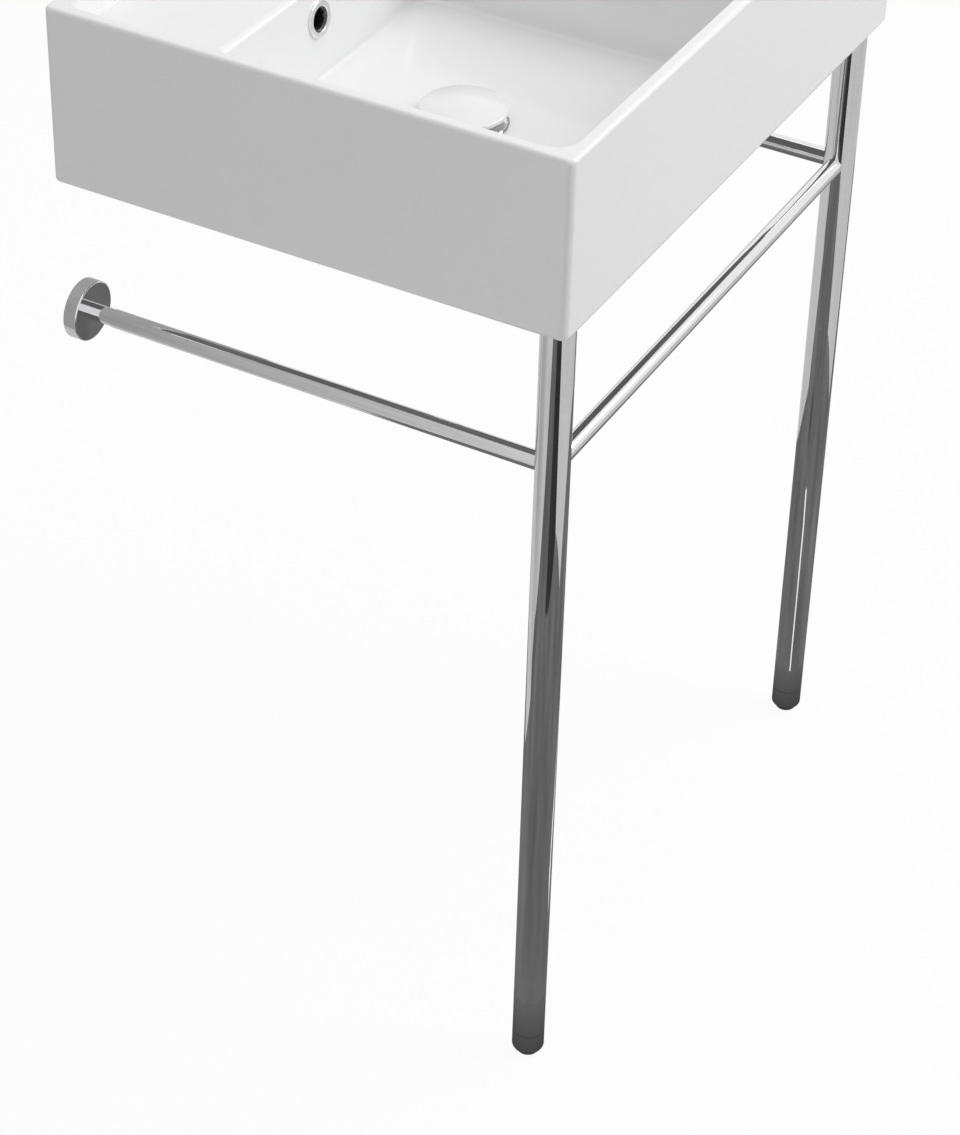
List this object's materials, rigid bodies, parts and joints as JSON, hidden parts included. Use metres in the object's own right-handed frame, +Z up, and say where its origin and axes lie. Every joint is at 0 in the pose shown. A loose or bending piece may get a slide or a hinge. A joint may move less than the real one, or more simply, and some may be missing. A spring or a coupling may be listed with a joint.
{
  "type": "console sink",
  "caption": "Rectangular ceramic console basin with an off-centre bowl, sunken ledge and shelf, on chrome front legs with towel rails and wall rosettes.",
  "frame": {"origin": "on the wall plane, midway between the two wall bolts", "axes": "+X right for a person who faces the wall, +Y into the wall, +Z up"},
  "size_m": [0.6, 0.517, 0.914],
  "materials": {
    "black_plastic": "moulded, satin",
    "brass": "machined",
    "chrome": "polished chrome plate on brass",
    "foot_rubber": "dark grey, matt",
    "glazed_ceramic": "white vitreous glaze, glossy",
    "grey_plastic": "moulded, satin",
    "nylon": "natural nylon",
    "rubber": "black, matt",
    "spring_steel": "stainless wire",
    "white_cap": "white, glossy, to match the basin",
    "zinc_steel": "zinc plated"
  },
  "bodies": {
    "console": {"ceramic_basin": "glazed_ceramic", "click_cartridge": "grey_plastic", "click_spring": "spring_steel", "front_rail": "chrome", "left_foot_ferrule": "chrome", "left_joint_block": "brass", "left_leg_socket": "nylon", "left_leg_stud": "zinc_steel", "left_leg_top_plug": "brass", "left_leg_tube": "chrome", "left_leg_washer": "rubber", "left_rail_spigot": "chrome", "left_rosette_cover": "chrome", "left_rosette_plate": "zinc_steel", "left_side_rail": "chrome", "overflow_clip": "black_plastic", "overflow_ring": "chrome", "rail_end_plugs": "brass", "rail_studs": "zinc_steel", "right_foot_ferrule": "chrome", "right_joint_block": "brass", "right_leg_socket": "nylon", "right_leg_stud": "zinc_steel", "right_leg_top_plug": "brass", "right_leg_tube": "chrome", "right_leg_washer": "rubber", "right_rail_spigot": "chrome", "right_rosette_cover": "chrome", "right_rosette_plate": "zinc_steel", "right_side_rail": "chrome", "rosette_set_screws": "zinc_steel", "spigot_screws": "zinc_steel", "tailpiece_washer": "rubber", "wall_bolt_nuts": "zinc_steel", "wall_bolt_sleeves": "nylon", "wall_bolt_washers": "zinc_steel", "wall_bolts": "zinc_steel", "waste_backnut": "brass", "waste_body": "chrome", "waste_gasket": "rubber", "waste_tailpiece": "chrome", "waste_washer": "rubber"},
    "drain_plug": {"drain_cap": "white_cap", "cap_carrier": "grey_plastic", "cap_seal": "rubber", "click_plunger": "brass"},
    "left_foot_pad_body": {"left_foot_pad": "foot_rubber"},
    "left_foot_stud_body": {"left_foot_stud": "zinc_steel"},
    "right_foot_pad_body": {"right_foot_pad": "foot_rubber"},
    "right_foot_stud_body": {"right_foot_stud": "zinc_steel"}
  },
  "joints": [
    {"name": "drain_plug_press", "type": "slide", "parent": "console", "child": "drain_plug", "axis": [0, 0, -1], "range_m": [0, 0.0075], "stiffness_N_per_m": 300, "springref_m": -0.01, "deforming": ["click_spring"]},
    {"name": "left_foot_travel", "type": "slide", "parent": "console", "child": "left_foot_pad_body", "axis": [0, 0, -1], "range_m": [0, 0.012]},
    {"name": "left_foot_turn", "type": "hinge", "parent": "left_foot_pad_body", "child": "left_foot_stud_body", "pos_m": [-0.272, -0.4365, -0.82], "axis": [0, 0, -1], "range_deg": [0, 2881]},
    {"name": "right_foot_travel", "type": "slide", "parent": "console", "child": "right_foot_pad_body", "axis": [0, 0, -1], "range_m": [0, 0.012]},
    {"name": "right_foot_turn", "type": "hinge", "parent": "right_foot_pad_body", "child": "right_foot_stud_body", "pos_m": [0.272, -0.4365, -0.82], "axis": [0, 0, -1], "range_deg": [0, 2881]}
  ],
  "couplings": [
    {"joint": "left_foot_turn", "follows": "left_foot_travel", "rad_per_m": 4188.8},
    {"joint": "right_foot_turn", "follows": "right_foot_travel", "rad_per_m": 4188.8}
  ]
}
